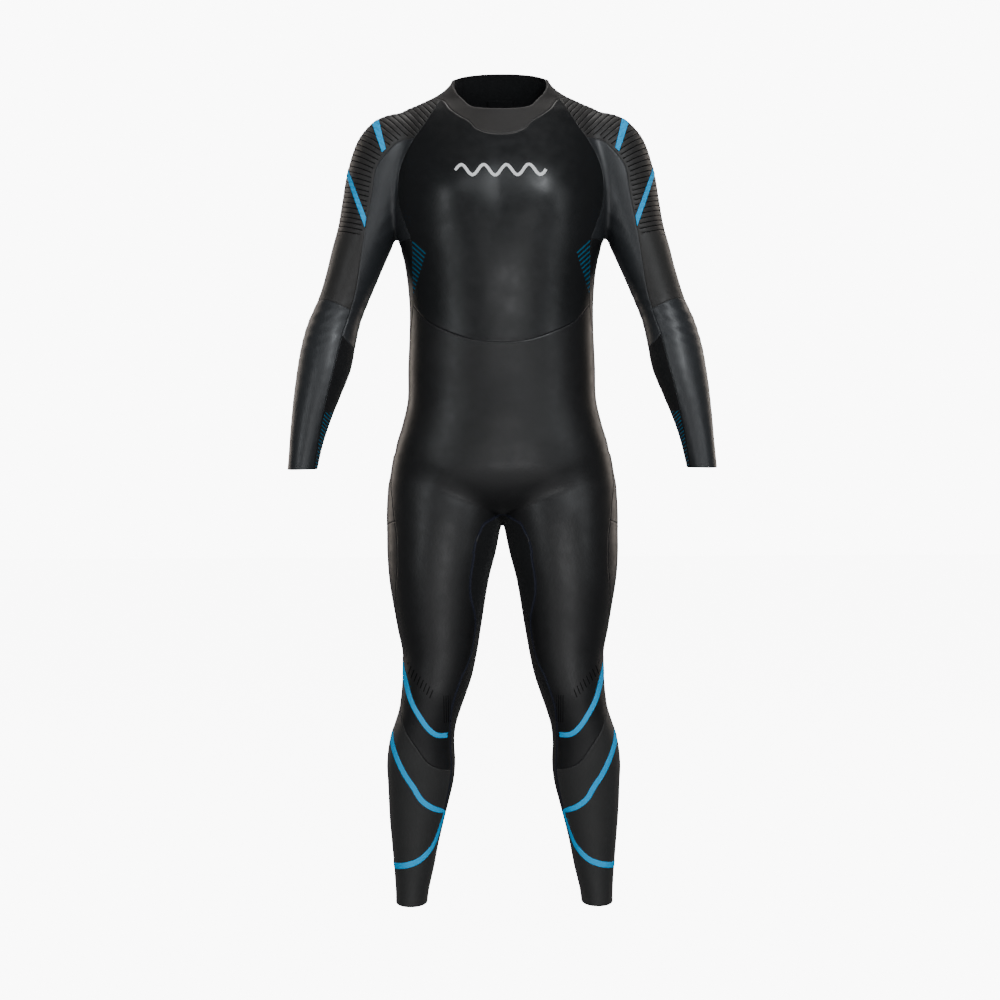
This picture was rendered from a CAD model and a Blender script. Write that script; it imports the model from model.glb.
import itertools
import math

import bpy
import numpy as np
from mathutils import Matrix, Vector


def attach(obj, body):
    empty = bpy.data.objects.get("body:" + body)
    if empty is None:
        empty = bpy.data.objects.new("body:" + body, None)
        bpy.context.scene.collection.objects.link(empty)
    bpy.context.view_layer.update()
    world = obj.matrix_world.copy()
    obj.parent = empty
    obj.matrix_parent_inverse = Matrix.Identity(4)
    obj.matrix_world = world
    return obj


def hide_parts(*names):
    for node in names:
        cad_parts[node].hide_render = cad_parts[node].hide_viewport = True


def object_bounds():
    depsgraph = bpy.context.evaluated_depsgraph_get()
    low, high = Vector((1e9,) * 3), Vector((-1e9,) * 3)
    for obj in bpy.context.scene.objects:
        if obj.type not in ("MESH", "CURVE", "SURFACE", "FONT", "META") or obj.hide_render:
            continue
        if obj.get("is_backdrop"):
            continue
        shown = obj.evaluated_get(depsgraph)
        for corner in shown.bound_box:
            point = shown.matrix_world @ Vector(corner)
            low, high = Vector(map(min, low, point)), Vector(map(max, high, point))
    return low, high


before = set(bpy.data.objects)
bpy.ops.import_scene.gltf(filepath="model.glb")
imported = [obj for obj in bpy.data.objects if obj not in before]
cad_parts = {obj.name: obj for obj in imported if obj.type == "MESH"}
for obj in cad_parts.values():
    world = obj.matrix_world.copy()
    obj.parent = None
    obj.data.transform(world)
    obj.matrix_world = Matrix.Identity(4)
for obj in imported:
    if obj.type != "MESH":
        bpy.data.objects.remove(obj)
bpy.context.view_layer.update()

# Everything below is worked out in millimetres, +Z up, the wearer facing -Y, and turned to metres
# when a mesh is made. "ax" is the distance from the middle plane, the same for left and right.

# ------------------------------------------------------------------ body form

# The spine line, and so the zip, is an arc: its radius and the place of its centre.
ARC_R, ARC_Y, ARC_Z = 520.0, -398.0, 1190.0
ZIP_LOW, ZIP_HIGH = 1028.0, 1395.0
ZIP_HALF_SLOT = 8
COLLAR_HALF_SLIT = 0.6  # where the collar's two ends meet above the zip
BODY_WALL, SLEEVE_WALL = 4.0, 2.5
WRIST_Z = 755
TORSO_LOW, LEG_HIGH, SLEEVE_LOW, SLEEVE_HIGH = 673, 770, 740, 1361
LEG_BLEND, HIP_BLEND, SHOULDER_BLEND = 10, 16, 13  # how softly two parts run together
TORSO_PANELS_FROM = 706
SHOULDER_MIDDLE_Y = 6
CROTCH_FRONT_Z, CROTCH_BACK_Z = 612, 632
CENTRE_Y, BACK_DEPTH = 1, 4  # columns of a limb's table

# z, half width, centre y, front y, back y, squareness
TORSO = [
    (673, 30, 12, -16, 46, 2.0), (688, 104, 12, -55, 87, 2.0), (710, 158, 12, -78, 110, 2.1),
    (750, 185, 10, -95, 124, 2.2), (790, 183, 6, -98, 119, 2.3), (830, 171.5, 4, -97, 106, 2.3),
    (872, 162, 2, -97, 94, 2.25), (925, 160.3, 0, -99, 86, 2.2), (1000, 157.3, 0, -104, 86, 2.2),
    (1050, 158.5, 0, -110, 101, 2.25), (1100, 164, 0, -117, 114, 2.3), (1150, 176, 0, -122, 120, 2.35),
    (1200, 183, 2, -124, 122, 2.4), (1250, 183, 4, -118, 118, 2.35), (1295, 179, 6, -102, 111, 2.25),
    (1330, 175, 8, -87, 103, 2.1), (1353, 171, 10, -78, 96, 1.85), (1367, 163, 10, -74, 91, 1.6),
    (1378, 139, 10, -71, 87, 1.6), (1389, 113, 8, -70, 82, 1.75), (1400, 95, 5, -70, 78, 1.9),
    (1412, 84, 2, -70, 72, 2.0), (1430, 80, 0, -71, 63, 2.0), (1475, 77, -2, -72, 36, 2.0),
]
# z, centre x, centre y, half width, front depth, back depth, squareness
SLEEVE = [
    (735, 342, -51, 24.5, 32, 32, 2.1), (755, 338, -48, 25.2, 33, 33, 2.1), (800, 331, -44, 28.6, 35, 36,
        2.1),
    (841, 323, -38, 34, 39, 40, 2), (882, 313, -31, 40.4, 44, 44, 2), (924, 302.6, -22, 45.8, 48, 48, 2),
    (965, 295.4, -13, 46.2, 49, 50, 2), (1006, 285.5, -4, 44.8, 48, 50, 2), (1047, 269, 2, 44, 49, 51, 2),
    (1089, 253.7, 5, 46.4, 52, 54, 2), (1130, 239.5, 7, 50.4, 56, 57, 2), (1171, 225.3, 8, 53.6, 58, 60, 2),
    (1213, 214.2, 9, 57.2, 60, 63, 2), (1254, 203.3, 10, 61.2, 62, 64, 2), (1295, 189.3, 10, 64, 61, 62, 2),
    (1318, 180, 10, 63.4, 57, 58, 2), (1337, 171, 11, 58, 50, 52, 2), (1349, 166, 12, 49, 42, 44, 2),
    (1357, 162, 13, 37, 32, 34, 2), (1362, 158, 14, 20, 18, 20, 2),
]
LEG = [
    (-20, 163, 12, 27, 37, 39, 2), (0, 161.3, 12, 27.4, 37, 40, 2), (24, 159.8, 12, 29.2, 37, 41, 2),
    (60, 156.8, 12, 34.6, 38, 44, 2), (110, 154, 12, 41.6, 42, 51, 2), (160, 149.6, 12, 49.6, 47, 57, 2),
    (210, 144.4, 10, 56.8, 52, 62, 2.05), (245, 143, 8, 59.2, 56, 64, 2.1), (280, 141.5, 4, 56.6, 57, 62,
        2.1),
    (310, 136, -1, 53.8, 57, 60, 2.1), (340, 126.8, -5, 53.4, 58, 59, 2.1), (370, 119.2, -7, 56.4, 61, 59,
        2.1),
    (400, 113.2, -6, 60.4, 64, 62, 2.1), (440, 109, -4, 64.6, 68, 67, 2.1), (480, 109.6, -2, 72, 73, 73, 2.1),
    (560, 109.6, 2, 85.4, 84, 84, 2.1), (610, 105.4, 5, 93.6, 89, 92, 2.1), (645, 102, 8, 97.2, 92, 100, 2.1),
    (672, 99.6, 10, 100, 93, 108, 2.1), (700, 97, 11, 101.5, 91, 112.5, 2.1), (735, 96, 10, 99, 82, 107.5,
        2.1),
    (772, 96, 8, 86, 65, 91, 2),
]


def cubic(q, xs, ys):
    """A smooth curve through the given points, at q. Past the ends it stays level."""
    xs, ys = np.asarray(xs, float), np.asarray(ys, float)
    slope = np.empty_like(ys)
    slope[1:-1] = (ys[2:] - ys[:-2]) / (xs[2:] - xs[:-2])
    slope[0] = (ys[1] - ys[0]) / (xs[1] - xs[0])
    slope[-1] = (ys[-1] - ys[-2]) / (xs[-1] - xs[-2])
    q = np.clip(q, xs[0], xs[-1])
    i = np.clip(np.searchsorted(xs, q, side="right") - 1, 0, len(xs) - 2)
    h = xs[i + 1] - xs[i]
    t = (q - xs[i]) / h
    return (
        (2 * t**3 - 3 * t**2 + 1) * ys[i]
        + (t**3 - 2 * t**2 + t) * h * slope[i]
        + (3 * t**2 - 2 * t**3) * ys[i + 1]
        + (t**3 - t**2) * h * slope[i + 1]
    )


def curve(points):
    """A function through (input, value) points, read from a fine table."""
    points = sorted(points)
    xs = [p[0] for p in points]
    fine = np.linspace(xs[0], xs[-1], 1500)
    table = cubic(fine, xs, [p[1] for p in points])
    return lambda q: np.interp(q, fine, table)


def spine(z):
    return ARC_Y + np.sqrt(ARC_R**2 - (np.clip(z, 900, 1500) - ARC_Z) ** 2)


def ax_of(p):
    return np.abs(p[:, 0])


class Limb:
    """A body part's sections, as a table with a row for each millimetre of height."""

    def __init__(self, rows):
        rows = np.array(rows, float)
        self.z = np.arange(rows[0, 0], rows[-1, 0] + 1.0, 1.0)
        self.keys = np.stack([cubic(self.z, rows[:, 0], rows[:, k]) for k in range(1, rows.shape[1])])

    def at(self, z):
        return [np.interp(z, self.z, k) for k in self.keys]


torso_rows = [(z, 0, cy, hw, cy - fy, by - cy, n) for z, hw, cy, fy, by, n in TORSO]
torso, sleeve, leg = Limb(torso_rows), Limb(SLEEVE), Limb(LEG)
high = torso.z >= 1000
torso.keys[BACK_DEPTH][high] = spine(torso.z[high]) - torso.keys[CENTRE_Y][high]


def outside(limb, x, y, z):
    cx, cy, hw, hf, hb, n = limb.at(z)
    dx, dy = x - cx, y - cy
    depth = np.where(dy > 0, hb, hf)
    rho = ((np.abs(dx) / hw) ** n + (np.abs(dy) / depth) ** n) ** (1 / n)
    r = np.hypot(dx, dy)
    reach = np.where(rho > 1e-3, r / np.maximum(rho, 1e-3), hw)
    return r - reach


def smooth_min(a, b, k):
    h = np.clip(0.5 + 0.5 * (b - a) / k, 0, 1)
    return b * (1 - h) + a * h - k * h * (1 - h)


def field(p):
    """About the distance outside the body's surface."""
    x, y, z = p[..., 0], p[..., 1], p[..., 2]
    t = np.maximum(outside(torso, x, y, z), TORSO_LOW - z)
    legs = smooth_min(outside(leg, x, y, z), outside(leg, -x, y, z), LEG_BLEND)
    legs = np.maximum(legs, z - LEG_HIGH)
    body = smooth_min(t, legs, HIP_BLEND)
    arms = outside(sleeve, np.abs(x), y, z)
    arms = np.maximum(np.maximum(arms, SLEEVE_LOW - z), z - SLEEVE_HIGH)
    return smooth_min(body, arms, SHOULDER_BLEND)


def gradient(f, p, step=0.6):
    g = np.empty_like(p)
    for k in range(3):
        d = np.zeros(3)
        d[k] = step
        g[:, k] = (f(p + d) - f(p - d)) / (2 * step)
    return g


# ------------------------------------------------------------------ surface mesh


def surface_net(values, origin, h):
    """A mesh of the zero surface of a grid of values."""
    inside = values < 0
    count = sum(
        inside[i : values.shape[0] - 1 + i, j : values.shape[1] - 1 + j,
            k : values.shape[2] - 1 + k].astype(np.int8)
        for i, j, k in itertools.product((0, 1), repeat=3)
    )
    cells = np.argwhere((count > 0) & (count < 8))
    number = np.full(count.shape, -1, np.int64)
    number[tuple(cells.T)] = np.arange(len(cells))
    total = np.zeros((len(cells), 3))
    hits = np.zeros(len(cells))
    for corner in itertools.product((0, 1), repeat=3):
        for axis in range(3):
            if corner[axis]:
                continue
            other = list(corner)
            other[axis] = 1
            a = values[tuple((cells + corner).T)]
            b = values[tuple((cells + other).T)]
            cross = (a < 0) != (b < 0)
            spot = np.tile(np.array(corner, float), (len(cells), 1))
            spot[:, axis] += np.where(cross, a / np.where(cross, a - b, 1), 0)
            total[cross] += spot[cross]
            hits[cross] += 1
    verts = origin + h * (cells + total / hits[:, None])
    quads = []
    for axis in range(3):
        u, v = [k for k in range(3) if k != axis]
        first = np.take(inside, range(values.shape[axis] - 1), axis)
        second = np.take(inside, range(1, values.shape[axis]), axis)
        edges = np.argwhere(first != second)
        ok = (edges[:, u] > 0) & (edges[:, v] > 0)
        ok &= (edges[:, u] < values.shape[u] - 1) & (edges[:, v] < values.shape[v] - 1)
        edges = edges[ok]
        ring = []
        for du, dv in ((0, 0), (-1, 0), (-1, -1), (0, -1)):
            cell = edges.copy()
            cell[:, u] += du
            cell[:, v] += dv
            ring.append(number[tuple(cell.T)])
        ring = np.stack(ring, 1)
        out = first[tuple(edges.T)]
        flip = out if axis != 1 else ~out
        ring[flip] = ring[flip][:, ::-1]
        quads.append(ring)
    quads = np.concatenate(quads)
    d1 = np.linalg.norm(verts[quads[:, 0]] - verts[quads[:, 2]], axis=1)
    d2 = np.linalg.norm(verts[quads[:, 1]] - verts[quads[:, 3]], axis=1)
    a, b = quads[d1 <= d2], quads[d1 > d2]
    return verts, np.concatenate([a[:, [0, 1, 2]], a[:, [0, 2, 3]], b[:, [1, 2, 3]], b[:, [1, 3, 0]]])


GRID = 4.0
low = np.array([-93 * 4.0, -34 * 4.0, -12.0])
steps = [np.arange(low[0], 93 * 4.0 + 1, GRID), np.arange(low[1], 34 * 4.0 + 1, GRID),
    np.arange(low[2], 1462, GRID)]
steps[0] = steps[0] - (steps[0][0] + steps[0][-1]) / 2
low[0] = steps[0][0]
grid = np.stack(np.meshgrid(*steps, indexing="ij"), -1)
values = np.stack([field(sheet) for sheet in grid])
V, T = surface_net(values, low, GRID)
del grid, values


def edges_of(tris):
    e = np.sort(np.concatenate([tris[:, [0, 1]], tris[:, [1, 2]], tris[:, [2, 0]]]), 1)
    return np.unique(e, axis=0)


links = edges_of(T)
for _ in range(6):
    total = np.zeros_like(V)
    hits = np.zeros(len(V))
    for a, b in ((0, 1), (1, 0)):
        np.add.at(total, links[:, a], V[links[:, b]])
        np.add.at(hits, links[:, a], 1)
    V = V + 0.5 * (total / hits[:, None] - V)
    g = gradient(field, V)
    V = V - g * (field(V) / np.maximum((g**2).sum(1), 0.05))[:, None]


# ------------------------------------------------------------------ seams


def bearing(x, y, z):
    """Degrees round a leg: 0 at the front, 90 on the outer side, 180 behind, 270 on the inner."""
    cx, cy, *_ = leg.at(z)
    return np.degrees(np.arctan2(np.abs(x) - cx, -(y - cy))) % 360


COLLAR = curve([
    (-130, 1270), (-100, 1304), (-90, 1319), (-80, 1336), (-60, 1359), (-40, 1376), (0, 1388), (50,
        1388), (110, 1384),
])
RIM = curve([(-130, 1330), (-74, 1357), (-58, 1374), (-38, 1396), (-12, 1413), (20, 1423), (50, 1436),
    (60, 1440), (110, 1444)])
RAGLAN_FRONT = curve([
    (1388, 94), (1375, 102), (1333, 128), (1305, 148), (1270, 166), (1235, 173), (1197, 171), (1166, 161),
    (1137, 151), (1100, 148),
])
RAGLAN_BACK = curve([
    (1402, 66), (1382, 80), (1350, 106), (1312, 132), (1270, 150), (1228, 160), (1190, 164), (1160, 161),
    (1130, 156), (1100, 150),
])
# Distance behind the middle plane of the seam down the side of the torso and of the leg.
SIDE_FRONT = curve([
    (1180, -58), (1137, -69), (1090, -55), (1047, -45), (1016, -36), (985, -23), (940, -9), (900, -4), (820,
        -4),
    (745, -16), (690, -38), (630, -52), (580, -51), (520, -33), (460, -9), (400, -1), (300, 6), (150,
        17), (-20, 15.5),
])
SIDE_BACK = curve([(1180, 64), (1130, 58), (1080, 54), (1000, 42), (930, 32), (870, 14), (826, 0),
    (796, -12), (760, -30)])
ARMPIT_Z = 1139.0
ARM_FROM = curve([(740, 250), (800, 250), (900, 240), (1000, 212), (1060, 194), (1100, 186), (1130, 180.5),
    (1150, 179)])
CHEST_HEM = curve([(0, 965), (20, 966), (56, 972), (107, 992), (128, 1006), (145, 1026), (160, 1048)])
BACK_HEM = curve([(0, 969), (20, 970), (50, 973), (100, 985), (148, 1008), (160, 1016)])
ELBOW = curve([(235, 1012), (246, 1020), (258, 1026), (284, 1038), (299, 1042), (350, 1046)])
FOREARM_TOP = curve([(225, 928), (232, 936), (258, 968), (272, 986), (280, 994)])
SLEEVE_FRONT = [
    (124, 1311), (141, 1310), (168, 1307), (191, 1287), (210, 1261), (216, 1225), (222.5, 1190), (228, 1165),
    (237, 1109), (245, 1061), (255, 1022), (268, 981), (279, 935), (289, 896), (300, 848), (308, 809), (320,
        735),
]
SLEEVE_BACK = [
    (124, 1284), (140, 1288), (168, 1290), (192, 1272), (208, 1236), (216, 1200), (224, 1160), (235, 1109),
    (244, 1061), (254, 1022), (267, 981), (279, 935), (289, 896), (300, 848), (308, 809), (320, 735),
]
GUSSET_FRONT = curve([(677.5, -6), (676, 3), (671, 14), (662, 30), (648, 38), (635, 44), (610, 50),
    (590, 54)])
INNER_LEG = curve([
    (640, 321), (610, 321.6), (545, 319), (495, 304), (459, 303), (425, 309), (399, 319), (347, 320), (296,
        302),
    (236, 296), (175, 293), (150, 286), (128, 270), (95, 255), (45, 246), (-20, 243),
])
GUSSET_BACK = curve([(706, -6), (704, 0), (701, 5), (690, 20), (672, 30), (655, 37), (630, 43), (600, 48)])
SEAT_FOLD = curve([(36, 672), (42, 670), (90, 655), (135, 637), (180, 630), (215, 636), (232, 642)])
KNEE_BACK_TOP = curve([(50, 504), (56, 506), (90, 516), (135, 530), (180, 538), (225, 530), (270, 519),
    (314, 486), (324, 480)])
CALF_TOP = curve([(80, 401), (120, 392), (180, 382), (267, 393), (300, 395), (328, 398), (340, 399)])
SHIN_TOP = curve([(-80, 236), (-45, 240), (-16, 252), (10, 284), (34, 310), (61, 338), (82, 356), (106, 370),
    (120, 380)])


def along_path(path, step=3.0):
    """Points every few millimetres on a smooth curve through the path, with widths if given."""
    path = np.array(path, float)
    chord = np.r_[0, np.cumsum(np.linalg.norm(np.diff(path[:, :2], axis=0), axis=1))]
    q = np.linspace(0, chord[-1], max(int(chord[-1] / step), 8))
    return np.stack([cubic(q, chord, path[:, k]) for k in range(path.shape[1])], 1)


def to_path(line, a, b):
    """Signed distance of points (a, b) from a line, positive on its left, and where on it they are."""
    start, run = line[:-1, :2], np.diff(line[:, :2], axis=0)
    size = (run**2).sum(1)
    best = np.full(a.shape, 1e9)
    side = np.zeros(a.shape)
    place = np.zeros(a.shape)
    before = np.r_[0, np.cumsum(np.sqrt(size))][:-1]
    for i in range(len(run)):
        px, py = a - start[i, 0], b - start[i, 1]
        t = np.clip((px * run[i, 0] + py * run[i, 1]) / size[i], 0, 1)
        d = np.hypot(px - t * run[i, 0], py - t * run[i, 1])
        near = d < best
        best = np.where(near, d, best)
        side = np.where(near, run[i, 0] * py - run[i, 1] * px, side)
        place = np.where(near, before[i] + t * math.sqrt(size[i]), place)
    return best * np.where(side < 0, -1, 1), place


front_line, back_line = along_path(SLEEVE_FRONT, 8), along_path(SLEEVE_BACK, 8)


def raglan_line(y, z):
    return np.where(y < SHOULDER_MIDDLE_Y, RAGLAN_FRONT(z), RAGLAN_BACK(z))


def parts_of(p):
    """The numbers that tell which panel points are on."""
    x, y, z = p[:, 0], p[:, 1], p[:, 2]
    ax = np.abs(x)
    arm = np.where(z > ARMPIT_Z, ax > raglan_line(y, z), (ax > ARM_FROM(z)) & (z > 700))
    return y, z, ax, arm, bearing(x, y, z)


def sleeve_side(p):
    """Distance from the sleeve's long seams, positive on the outer side."""
    ax, y, z = ax_of(p), p[:, 1], p[:, 2]
    middle = np.interp(z, sleeve.z, sleeve.keys[CENTRE_Y])
    front = to_path(front_line, ax, z)[0]
    back = to_path(back_line, ax, z)[0]
    return np.where(y < middle, front, back)


def signed_bearing(beta):
    return (beta + 180) % 360 - 180


def inner_edge(p):
    """Positive on the leg's front, negative on the gusset and the panels behind it."""
    x, y, z = p[:, 0], p[:, 1], p[:, 2]
    upper = np.abs(x) - GUSSET_FRONT(z)
    lower = (bearing(x, y, z) - INNER_LEG(z)) * 1.2
    return np.where(z > CROTCH_FRONT_Z, upper, lower)


def gusset_back_edge(p):
    """Positive on the seat and thigh back, negative on the gusset."""
    x, y, z = p[:, 0], p[:, 1], p[:, 2]
    upper = np.abs(x) - GUSSET_BACK(z)
    lower = (222 - bearing(x, y, z)) * 1.2
    return np.where(z > CROTCH_BACK_Z, upper, lower)


def label(p):
    """The panel's name at each point, with the side left off."""
    y, z, ax, arm, beta = parts_of(p)
    out = np.full(len(p), "front_body_panel", dtype="<U24")
    front = y < SIDE_FRONT(z)
    raglan_zone = z > 1137
    front = np.where(raglan_zone, y < SHOULDER_MIDDLE_Y, front)
    torso_zone = z > TORSO_PANELS_FROM
    chest = torso_zone & front & (z > CHEST_HEM(ax))
    out[chest] = "chest_panel"
    behind = torso_zone & ~front
    out[behind] = "seat_panel"
    side = behind & (y < SIDE_BACK(z)) & ~raglan_zone & (ax > 100)
    side |= (z > 1130) & (z <= ARMPIT_Z + 1) & (ax > raglan_line(y, z))
    out[behind & (z > BACK_HEM(ax))] = "upper_back_panel"
    out[side] = "side_panel"
    legs = ~torso_zone
    outer = beta < 180
    inner_front = inner_edge(p) > 0
    leg_front = np.where(outer, y < SIDE_FRONT(z), inner_front & ((y < 12) | (z < CROTCH_FRONT_Z)))
    shin = legs & leg_front & (z < SHIN_TOP(signed_bearing(beta)))
    out[shin] = "shin_panel"
    rear = legs & ~leg_front
    seat = rear & (z > SEAT_FOLD(beta)) & ((beta < 222) | (gusset_back_edge(p) > 0))
    thigh = rear & ~seat & (z > KNEE_BACK_TOP(beta))
    gusset = thigh & (gusset_back_edge(p) < 0) & ~outer
    gusset |= rear & (z > 640) & (gusset_back_edge(p) < 0) & ~outer
    knee = rear & ~seat & ~thigh & ~gusset & (z > CALF_TOP(beta))
    calf = rear & (z <= CALF_TOP(beta))
    out[seat] = "seat_panel"
    out[thigh] = "thigh_back_panel"
    out[knee] = "knee_back_panel"
    out[calf] = "calf_back_panel"
    out[gusset] = "crotch_gusset"
    hand_side = sleeve_side(p)
    upper = z > ELBOW(ax)
    outer_sleeve = hand_side > 0
    out[arm & outer_sleeve & upper] = "shoulder_panel"
    out[arm & outer_sleeve & ~upper] = "forearm_outer_panel"
    out[arm & ~outer_sleeve] = "inner_sleeve_panel"
    out[arm & ~outer_sleeve & (z < FOREARM_TOP(ax))] = "forearm_inner_panel"
    out[(z > COLLAR(y)) & (ax < 135) & (z > 1290)] = "collar_panel"
    return out


# Each seam: a function that is zero on it, and one that is true where it runs.
def seam_list():
    def raglan(p):
        y, z, ax, *_ = parts_of(p)
        return ax - raglan_line(y, z)

    def on_raglan(p):
        y, z, ax, *_ = parts_of(p)
        return (z > np.where(y < 6, 1136, 1128)) & (z < COLLAR(y) + 5) & (ax < 195)

    def on_collar(p):
        y, z, ax, *_ = parts_of(p)
        return (z > 1290) & (ax < 135)

    def on_side_front(p):
        y, z, ax, arm, beta = parts_of(p)
        return ~arm & (z < 1141) & (y < 75) & (
            (z > TORSO_PANELS_FROM) & (ax > 100) | (z <= TORSO_PANELS_FROM) & (beta < 150) & (beta > 20)
        )

    def on_side_back(p):
        y, z, ax, arm, beta = parts_of(p)
        return ~arm & (z < 1133) & (z > 790) & (ax > 100) & (y > SIDE_FRONT(z) - 3)

    def on_armpit(p):
        y, z, ax, *_ = parts_of(p)
        return (ax > raglan_line(y, z) - 1) & (ax < 183) & (z < 1175)

    def on_chest_hem(p):
        y, z, ax, arm, beta = parts_of(p)
        return ~arm & (y < SIDE_FRONT(z) + 2) & (z > 940) & (z < 1060)

    def on_back_hem(p):
        y, z, ax, arm, beta = parts_of(p)
        return ~arm & (y > SIDE_BACK(z) - 2) & (z > 940) & (z < 1040)

    def on_sleeve(p):
        y, z, ax, arm, beta = parts_of(p)
        return arm & (z < 1330)

    def on_elbow(p):
        y, z, ax, arm, beta = parts_of(p)
        return arm & (sleeve_side(p) > -2) & (z < 1100) & (z > 980)

    def on_forearm_top(p):
        y, z, ax, arm, beta = parts_of(p)
        return arm & (sleeve_side(p) < 2) & (z < 1020) & (z > 900)

    def on_inner(p):
        y, z, ax, arm, beta = parts_of(p)
        upper = (z > CROTCH_FRONT_Z) & (z < 690) & (y < 12)
        return (upper | (z <= CROTCH_FRONT_Z) & (beta > 200) & (beta < 350)) & (ax < 190)

    def on_gusset_back(p):
        y, z, ax, arm, beta = parts_of(p)
        upper = (z > CROTCH_BACK_Z) & (z < 720) & (y > 12)
        return upper | (z <= CROTCH_BACK_Z) & (z > KNEE_BACK_TOP(beta) - 2) & (beta > 190) & (beta < 262)

    def on_seat_fold(p):
        y, z, ax, arm, beta = parts_of(p)
        return (z < 700) & (z > 600) & (beta < 224) & ((beta > 150) | (y > SIDE_FRONT(z) - 2)) & (beta > 20)

    def behind(p, spare=2):
        y, z, ax, arm, beta = parts_of(p)
        return np.where(beta < 180, y > SIDE_FRONT(z) - spare, inner_edge(p) < spare)

    def on_knee_top(p):
        return behind(p) & (p[:, 2] < 560) & (p[:, 2] > 470)

    def on_calf_top(p):
        return behind(p) & (p[:, 2] < 430) & (p[:, 2] > 360)

    def on_shin_top(p):
        y, z, ax, arm, beta = parts_of(p)
        ahead = np.where(beta < 180, y < SIDE_FRONT(z) + 2, inner_edge(p) > -2)
        return ahead & (z < 400) & (z > 215)

    def on_spine(p):
        y, z, ax, *_ = parts_of(p)
        return (y > 20) & (z > 969) & (z < ZIP_LOW) & (ax < 12)

    def over(line, place):
        return lambda p: p[:, 2] - line(place(p))

    y_of = lambda p: p[:, 1]
    beta_of = lambda p: bearing(p[:, 0], p[:, 1], p[:, 2])
    return [
        ("collar", over(COLLAR, y_of), on_collar),
        ("raglan", raglan, on_raglan),
        ("side_front", lambda p: p[:, 1] - SIDE_FRONT(p[:, 2]), on_side_front),
        ("side_back", lambda p: p[:, 1] - SIDE_BACK(p[:, 2]), on_side_back),
        ("armpit", lambda p: p[:, 2] - ARMPIT_Z, on_armpit),
        ("chest_hem", over(CHEST_HEM, ax_of), on_chest_hem),
        ("back_hem", over(BACK_HEM, ax_of), on_back_hem),
        ("sleeve", sleeve_side, on_sleeve),
        ("elbow", over(ELBOW, ax_of), on_elbow),
        ("forearm_top", over(FOREARM_TOP, ax_of), on_forearm_top),
        ("inner_leg", inner_edge, on_inner),
        ("gusset_back", gusset_back_edge, on_gusset_back),
        ("seat_fold", over(SEAT_FOLD, beta_of), on_seat_fold),
        ("knee_top", over(KNEE_BACK_TOP, beta_of), on_knee_top),
        ("calf_top", over(CALF_TOP, beta_of), on_calf_top),
        ("shin_top", over(SHIN_TOP, lambda p: signed_bearing(beta_of(p))), on_shin_top),
        ("spine", lambda p: p[:, 0], on_spine),
    ]


# ------------------------------------------------------------------ cutting the mesh along lines


def across(f, p, n):
    """A function's value over how fast it changes along the surface: about a distance in millimetres."""
    e1 = np.cross(n, np.where(np.abs(n[:, 2:]) > 0.8, [[1.0, 0, 0]], [[0, 0, 1.0]]))
    e1 /= np.linalg.norm(e1, axis=1)[:, None]
    e2 = np.cross(n, e1)
    value = f(p)
    slope = [(f(p + 0.5 * e) - f(p - 0.5 * e)) for e in (e1, e2)]
    rate = np.hypot(*slope)
    rate = np.clip(rate, 0.12, 4.0)
    return value / rate


def split(V, T, s, level, ok, marks, period=None):
    """Cuts the triangles where s passes the level, or any of the levels a period apart."""
    if period is None:
        rank = (s > level).astype(np.int64)
        target = lambda a, b: np.full(len(a), float(level))
    else:
        rank = np.floor((s - level) / period).astype(np.int64)
        target = lambda a, b: np.maximum(rank[a], rank[b]) * period + level
    edges = np.concatenate([T[:, [0, 1]], T[:, [1, 2]], T[:, [2, 0]]])
    cut = (rank[edges[:, 0]] != rank[edges[:, 1]]) & ok[edges[:, 0]] & ok[edges[:, 1]]
    if period is not None:
        cut &= np.abs(rank[edges[:, 0]] - rank[edges[:, 1]]) == 1
    keyed = np.sort(edges[cut], 1)
    if not len(keyed):
        return V, T, s, ok, marks
    unique, back = np.unique(keyed, axis=0, return_inverse=True)
    a, b = unique[:, 0], unique[:, 1]
    t = np.clip((target(a, b) - s[a]) / (s[b] - s[a]), 0.02, 0.98)
    grow = lambda q: np.concatenate([q, q[a] + (q[b] - q[a]) * (t if q.ndim == 1 else t[:, None])])
    made = np.full(len(edges), -1, np.int64)
    made[cut] = len(V) + back.reshape(-1)
    made = made.reshape(3, -1).T
    hits = (made >= 0).sum(1)
    keep = [T[hits == 0]]
    one = T[hits == 1], made[hits == 1]
    turn = np.argmax(one[1] >= 0, 1)
    pick = (np.arange(3)[None] + turn[:, None]) % 3
    q, m = np.take_along_axis(one[0], pick, 1), np.take_along_axis(one[1], pick, 1)[:, 0]
    keep += [np.stack([q[:, 0], m, q[:, 2]], 1), np.stack([m, q[:, 1], q[:, 2]], 1)]
    two = T[hits == 2], made[hits == 2]
    turn = (np.argmax(two[1] < 0, 1) + 1) % 3
    pick = (np.arange(3)[None] + turn[:, None]) % 3
    q, m = np.take_along_axis(two[0], pick, 1), np.take_along_axis(two[1], pick, 1)
    m1, m2 = m[:, 0], m[:, 1]
    keep += [np.stack([m1, q[:, 1], m2], 1), np.stack([q[:, 0], m1, m2], 1),
        np.stack([q[:, 0], m2, q[:, 2]], 1)]
    ok = np.concatenate([ok, np.ones(len(a), bool)])
    return grow(V), np.concatenate(keep), grow(s), ok, grow(marks)


def normals_at(p):
    g = gradient(field, p)
    return g / np.maximum(np.linalg.norm(g, axis=1), 1e-9)[:, None]


# For each corner of the mesh, its distance from: the nearest seam, an open edge, a rib's line, the seams
# down the inner legs and round the gusset, and the sleeves' long seams.
SEAM, EDGE, RIB, INSEAM, SLEEVE_SEAM = range(5)
marks = np.full((len(V), 5), 99.0)
NEAR_SEAM = 14  # a line is only cut this close to it


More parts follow.
